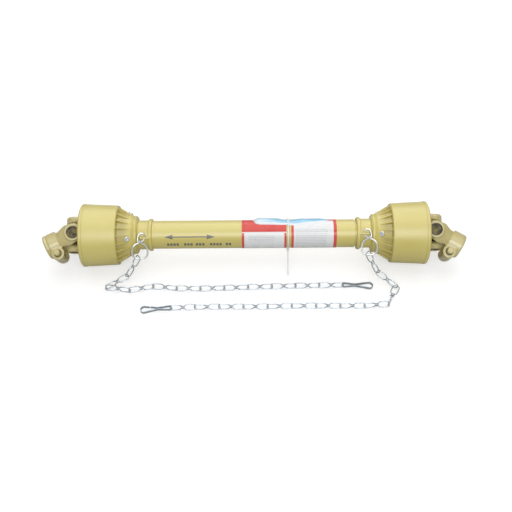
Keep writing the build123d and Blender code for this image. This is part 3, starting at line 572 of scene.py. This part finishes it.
# Leaflet: folded paper in a thin film sleeve, laid over the tube's back and pinched by the tie.
# The edges are in degrees round the tube, at shares of the sheet's length.
leafletLook = {
    "start": -0.0028,
    "width": 0.1440,
    "frontEdge": ((0.0, 119), (0.035, 93), (0.10, 88), (0.42, 86), (0.56, 82), (0.80, 91),
                  (1.0, 105)),
    "backEdge": ((0.0, 160), (0.3, 168), (0.465, 162), (0.8, 169), (1.0, 163)),
    "standOff": ((0.0, 0.0006), (0.08, 0.0040), (0.26, 0.0036), (0.43, 0.0006), (0.50, 0.0006),
                 (0.66, 0.0022), (0.90, 0.0017), (1.0, 0.0004)),
    "seat": 0.02755,          # radius that it lies at
    "thickness": 0.0006,
    "cells": (72, 30),
    "swell": (1.15, 0.7),     # how soon it swells from the front edge, and how squarely
    "creaseHeight": 0.00035,
    "creaseWaves": (26, 9),   # along, across
    "creaseFade": 0.002,      # where it stands off less than this, the creases flatten too
    "blue": (0.25, 0.54, 0.73),
    "pale": (0.58, 0.71, 0.79),
    "white": (0.73, 0.75, 0.77),
    "margin": (0.10, 0.15),   # from here on shares of the sheet, along or across
    "fade": (0.02, 0.30),
    "panels": 3.0,
    "panelAlong": (0.06, 0.94),
    "panelAcross": (0.42, 0.93),
    "panelShade": 0.55,
    "foldAlong": (0.495, 0.503),
    "foldAcross": (0.385, 0.392),
    "foldShade": 0.5,
    "wave": {"scale": 26, "detail": 3, "stretch": (0.5, 1, 1)},
    "crease": {"scale": 34, "detail": 5, "roughness": 0.6, "stretch": (0.5, 1.6, 1.6)},
    "relief": (0.0009, 0.5),
}


def between(stops, share):
    # Smoothly from one stop to the next, as a draughtsman's curve.
    for (low, first), (high, second) in zip(stops, stops[1:]):
        if share <= high:
            step = (share - low) / (high - low)
            return first + (second - first) * step * step * (3 - 2 * step)
    return stops[-1][1]


def layLeaflet(look):
    cellsAlong, cellsAcross = look["cells"]
    bpy.ops.mesh.primitive_grid_add(x_subdivisions=cellsAlong, y_subdivisions=cellsAcross, size=1,
                                    location=(0, 0, 0))
    sheet = bpy.context.object
    sheet.name = "leafletSleeve"
    swellReach, swellPower = look["swell"]
    wavesAlong, wavesAcross = look["creaseWaves"]
    for vertex in sheet.data.vertices:
        along, up = vertex.co.x + 0.5, vertex.co.y + 0.5
        front, back = between(look["frontEdge"], along), between(look["backEdge"], along)
        turn = math.radians(front + (back - front) * up)
        crown = math.sin(math.pi * min(up * swellReach, 1.0)) ** swellPower
        swell = between(look["standOff"], along) * crown
        wave = math.sin(wavesAlong * along + wavesAcross * up) * math.sin(math.pi * up)
        crease = look["creaseHeight"] * wave * min(1.0, swell / look["creaseFade"])
        reach = look["seat"] + swell + crease
        vertex.co = shaftMiddle + Vector((look["start"] + look["width"] * along,
                                          -reach * math.cos(turn), reach * math.sin(turn)))
    wall = sheet.modifiers.new("wall", "SOLIDIFY")
    wall.thickness, wall.offset = look["thickness"], -1
    bpy.ops.object.modifier_apply(modifier="wall")
    finer = sheet.modifiers.new("finer", "SUBSURF")
    finer.levels = finer.render_levels = 1
    bpy.ops.object.modifier_apply(modifier="finer")
    bpy.ops.object.mode_set(mode="EDIT")
    bpy.ops.mesh.select_all(action="SELECT")
    bpy.ops.mesh.normals_make_consistent(inside=False)
    bpy.ops.object.mode_set(mode="OBJECT")
    bpy.ops.object.shade_smooth()
    sheet.select_set(False)
    return sheet


def leafletFilm(look):
    paint = Paint("leafletFilm", {"Coat Weight": 0.8, "Coat Roughness": 0.10})
    sheetPlace = paint.add("ShaderNodeTexCoord").out("UV")
    split = paint.add("ShaderNodeSeparateXYZ", values={0: sheetPlace})
    along, up = split.out("X"), split.out("Y")
    wave, crease = paint.noise(**look["wave"]), paint.noise(**look["crease"])
    printed = paint.spread(up + 0.05 * (wave - 0.5), *look["margin"])
    faded = paint.spread(along + 0.5 * (wave - 0.5), *look["fade"])
    blue = paint.mix(faded, look["pale"], look["blue"])
    panel = (within((along * look["panels"]) % 1.0, *look["panelAlong"])
             * within(up, *look["panelAcross"]))
    blue = paint.mix(panel * look["panelShade"], blue, look["pale"])
    fold = within(along + 0.01 * wave, *look["foldAlong"]) + within(up, *look["foldAcross"])
    colour = paint.mix(printed, look["white"], blue)
    colour = paint.mix((fold > 0.5) * look["foldShade"], colour, look["white"])
    return paint.finish(colour=colour, roughness=0.2 + 0.2 * wave,
                        normal=paint.bump(crease, *look["relief"]))


leafletSheet = layLeaflet(leafletLook)
leafletSheet.data.materials.append(leafletFilm(leafletLook))
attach(leafletSheet, "tractor_guard")
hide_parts("leaflet")
print("labels printed and leaflet laid")


# Chains: knotted double-loop links of round wire, each bent once and copied along the chain's lie.
chainLook = {
    "wire": 0.0021,
    "pitch": 0.0455,
    "halfWidth": 0.00625,     # to the wire's middle
    "play": 0.0004,
    "tail": ((-0.0024, 0.0009), (0.0016, 0.0010)),     # along and aside, inside the knot
    "flank": ((0.0048, 0.86), (0.0090, 1.04)),         # along, aside as a share of the half width
    "crown": ((0.95, 1.02), (0.0, 0.92)),              # in from the link's end and aside, both so
    "wrapRadius": 0.0025,
    "wrapFlare": 1.35,
    "wrapTurns": 2.5,
    "wrapSteps": 8,           # points in one turn
    "wrapLength": 0.0060,
    "loopFineness": (3, 3),   # round the wire, along it
    "wrapFineness": (2, 2),
    "aboveFloor": 0.0074,     # middle of a link that lies
}
floorLevel = -0.0606          # the ground, counted from the shaft's middle
chainLevel = floorLevel + chainLook["aboveFloor"]
chainLies = {
    "tractor": {"start": (-0.2211, -0.0471, -0.0108), "links": 12, "corners": [
        (-0.250, -0.069), (-0.2855, -0.087), (-0.238, -0.094), (-0.195, -0.0845), (-0.131, -0.092),
        (-0.040, -0.0895), (0.050, -0.0865), (0.300, -0.083)]},
    "implement": {"start": (0.2148, -0.0472, -0.0028), "links": 12, "corners": [
        (0.244, -0.074), (0.275, -0.093), (0.251, -0.132), (0.205, -0.1355), (0.092, -0.134),
        (0.0, -0.1355), (-0.088, -0.1345), (-0.300, -0.140)]},
}


def bentWire(name, points, wire, fineness):
    bpy.ops.curve.primitive_nurbs_path_add()
    run = bpy.context.object
    run.name = name
    run.data.splines.clear()
    spline = run.data.splines.new("NURBS")
    spline.points.add(len(points) - 1)
    for point, place in zip(spline.points, points):
        point.co = (*place, 1)
    spline.use_endpoint_u = True
    spline.order_u = 3
    run.data.bevel_depth = wire / 2
    run.data.bevel_resolution, run.data.resolution_u = fineness
    run.data.use_fill_caps = True
    bpy.ops.object.convert(target="MESH")
    bpy.ops.object.shade_smooth()
    run.select_set(False)
    return run


def joinPieces(name, pieces):
    bpy.ops.object.select_all(action="DESELECT")
    for piece in pieces:
        piece.select_set(True)
    bpy.context.view_layer.objects.active = pieces[0]
    bpy.ops.object.join()
    pieces[0].name = name
    pieces[0].data.name = name
    bpy.ops.object.select_all(action="DESELECT")
    return pieces[0]


def doubleLoopLink(look):
    half = look["halfWidth"]
    reach = look["pitch"] / 2 + look["wire"] / 2 + look["play"] / 2
    side = [*look["tail"]]
    side += [(along, half * share) for along, share in look["flank"]]
    side += [(reach - half * inset, half * share) for inset, share in look["crown"]]
    outline = side + [(x, -y) for x, y in reversed(side)]
    flat = bentWire("flatLoop", [(-x, y, 0) for x, y in outline], look["wire"],
                    look["loopFineness"])
    upright = bentWire("uprightLoop", [(x, 0, y) for x, y in outline], look["wire"],
                       look["loopFineness"])
    wrap = []
    count = int(look["wrapTurns"] * look["wrapSteps"])
    for index in range(count + 1):
        turn = math.radians(360 / look["wrapSteps"] * index)
        radius = look["wrapRadius"] * (look["wrapFlare"] if index in (0, count) else 1.0)
        along = look["wrapLength"] * (index / count - 0.5)
        wrap.append((along, radius * math.cos(turn), radius * math.sin(turn)))
    knot = bentWire("knotWrap", wrap, look["wire"], look["wrapFineness"])
    return joinPieces("link", [flat, upright, knot])


def chainPoints(lie, pitch):
    route = [Vector(lie["start"])] + [Vector((x, y, chainLevel)) for x, y in lie["corners"]]
    points, leg = [route[0]], 0
    while len(points) <= lie["links"]:
        here = points[-1]
        while (route[leg + 1] - here).length < pitch and leg + 2 < len(route):
            leg += 1
        way = (route[leg + 1] - route[leg]).normalized()
        offset = here - route[leg]
        foot = offset.dot(way)
        gap = max(offset.dot(offset) - foot * foot, 0.0)
        points.append(route[leg] + way * (foot + math.sqrt(pitch ** 2 - gap)))
    return points


def layChain(end, link, look):
    points = chainPoints(chainLies[end], look["pitch"])
    copies = []
    for start, stop in zip(points, points[1:]):
        way = (stop - start).normalized()
        across = Vector((0, 0, 1)).cross(way).normalized()
        turn = Matrix((way, across, way.cross(across))).transposed().to_4x4()
        copy = link.copy()
        copy.data = link.data.copy()
        bpy.context.collection.objects.link(copy)
        copy.data.transform(Matrix.Translation(shaftMiddle + (start + stop) / 2) @ turn)
        copies.append(copy)
    chain = joinPieces(end + "ChainLinks", copies)
    chain.data.materials.append(metals["chainZinc"])
    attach(chain, end + "_chain_set")
    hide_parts(end + "_chain")


linkPattern = doubleLoopLink(chainLook)
for end in endWays:
    layChain(end, linkPattern, chainLook)
bpy.data.objects.remove(linkPattern)


# Figure-eight hooks: one wire, open above where it holds the collar's eye, and below it a ring
# for the chain.
hookLook = {
    "wire": 0.0034,
    # out along the shaft, down and away from the neck, each in mm from the middle of the eye
    "route": ((13.0, 6.8, 1.4), (13.2, -8.8, -0.1), (0.3, -8.8, -2.5), (0.0, 4.4, -4.5),
              (14.0, 9.6, 1.7), (24.2, 16.5, 4.4), (24.4, 40.2, -2.5), (-4.9, 40.2, -4.4),
              (-4.7, 17.0, -3.2), (3.0, 10.6, 0.2), (10.6, 4.6, 3.5)),
    "fineness": (5, 8),       # round the wire, along it
}


def bendHook(end, outward, look):
    eye = jointPlaces[end + "_chain_swing"]
    away = Vector((0, eye.y - shaftMiddle.y, eye.z - shaftMiddle.z)).normalized()
    down = Vector((0, -away.z, away.y))
    points = [eye + (outward * along + down * drop + away * lift) / 1000
              for along, drop, lift in look["route"]]
    hook = bentWire(end + "FigureHook", points, look["wire"], look["fineness"])
    hook.data.materials.append(metals["zinc"])
    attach(hook, end + "_chain_set")
    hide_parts(end + "_chain_hook")


for end, outward in endWays.items():
    bendHook(end, outward, hookLook)
print("chains laid and hooks bent")


# Floor, light and backdrop.
studioLook = {
    "floorSize": 14,
    "floorDrop": 0.0002,          # under the ground's level, so that nothing touches it
    "floorColour": 0.54,
    "floorRoughness": 0.9,
    "floorSpecular": 0.1,
    "floorLift": (0.53, 0.84),    # glow under the object and far from it, for the camera alone
    "liftReach": (0.7, 2.8),
    "worldLevel": 0.34,
    "lamps": [
        {"name": "topSoftbox", "place": (0.0, 0.30, 1.60), "size": (2.3, 1.3), "power": 13},
        {"name": "frontSoftbox", "place": (0.1, -1.75, 1.95), "size": (2.2, 1.1), "power": 32},
        {"name": "backSoftbox", "place": (0.1, 1.9, 1.5), "size": (2.6, 1.3), "power": 19},
    ],
}


def layFloor(look):
    bpy.ops.mesh.primitive_plane_add(size=look["floorSize"], location=(0, 0, 0))
    floor = bpy.context.object
    floor.name = "floor"
    level = shaftMiddle.z + floorLevel - look["floorDrop"]
    floor.data.transform(Matrix.Translation((0, 0, level)))
    paint = Paint("floorPaper", {
        "Base Color": (*[look["floorColour"]] * 3, 1), "Roughness": look["floorRoughness"],
        "Specular IOR Level": look["floorSpecular"], "Emission Strength": 1})
    near, far = ((lift, lift, lift) for lift in look["floorLift"])
    lift = paint.mix(paint.spread(paint.distance(shaftMiddle), *look["liftReach"]), near, far)
    seen = paint.add("ShaderNodeLightPath").out("Is Camera Ray")
    floor.data.materials.append(paint.finish(emission=paint.mix(seen, (0, 0, 0), lift)))
    floor.select_set(False)


def hangBackdrop(look):
    # The world lights the object at its level, and the camera sees it white.
    world = bpy.data.worlds.new("studio")
    world.use_nodes = True
    bpy.context.scene.world = world
    tree = world.node_tree
    plain, white = tree.nodes["Background"], tree.nodes.new("ShaderNodeBackground")
    for background in (plain, white):
        background.inputs["Color"].default_value = (1, 1, 1, 1)
    plain.inputs["Strength"].default_value = look["worldLevel"]
    path, choice = tree.nodes.new("ShaderNodeLightPath"), tree.nodes.new("ShaderNodeMixShader")
    tree.links.new(path.outputs["Is Camera Ray"], choice.inputs[0])
    tree.links.new(plain.outputs[0], choice.inputs[1])
    tree.links.new(white.outputs[0], choice.inputs[2])
    tree.links.new(choice.outputs[0], tree.nodes["World Output"].inputs["Surface"])


def hangLamps(look):
    for lamp in look["lamps"]:
        data = bpy.data.lights.new(lamp["name"], "AREA")
        data.shape, data.energy = "RECTANGLE", lamp["power"]
        data.size, data.size_y = lamp["size"]
        light = bpy.data.objects.new(lamp["name"], data)
        bpy.context.collection.objects.link(light)
        light.location = lamp["place"]
        aim = shaftMiddle - Vector(lamp["place"])
        light.rotation_euler = aim.to_track_quat("-Z", "Y").to_euler()


layFloor(studioLook)
hangBackdrop(studioLook)
hangLamps(studioLook)
bpy.context.scene.view_settings.view_transform = "Standard"
print("studio lit")
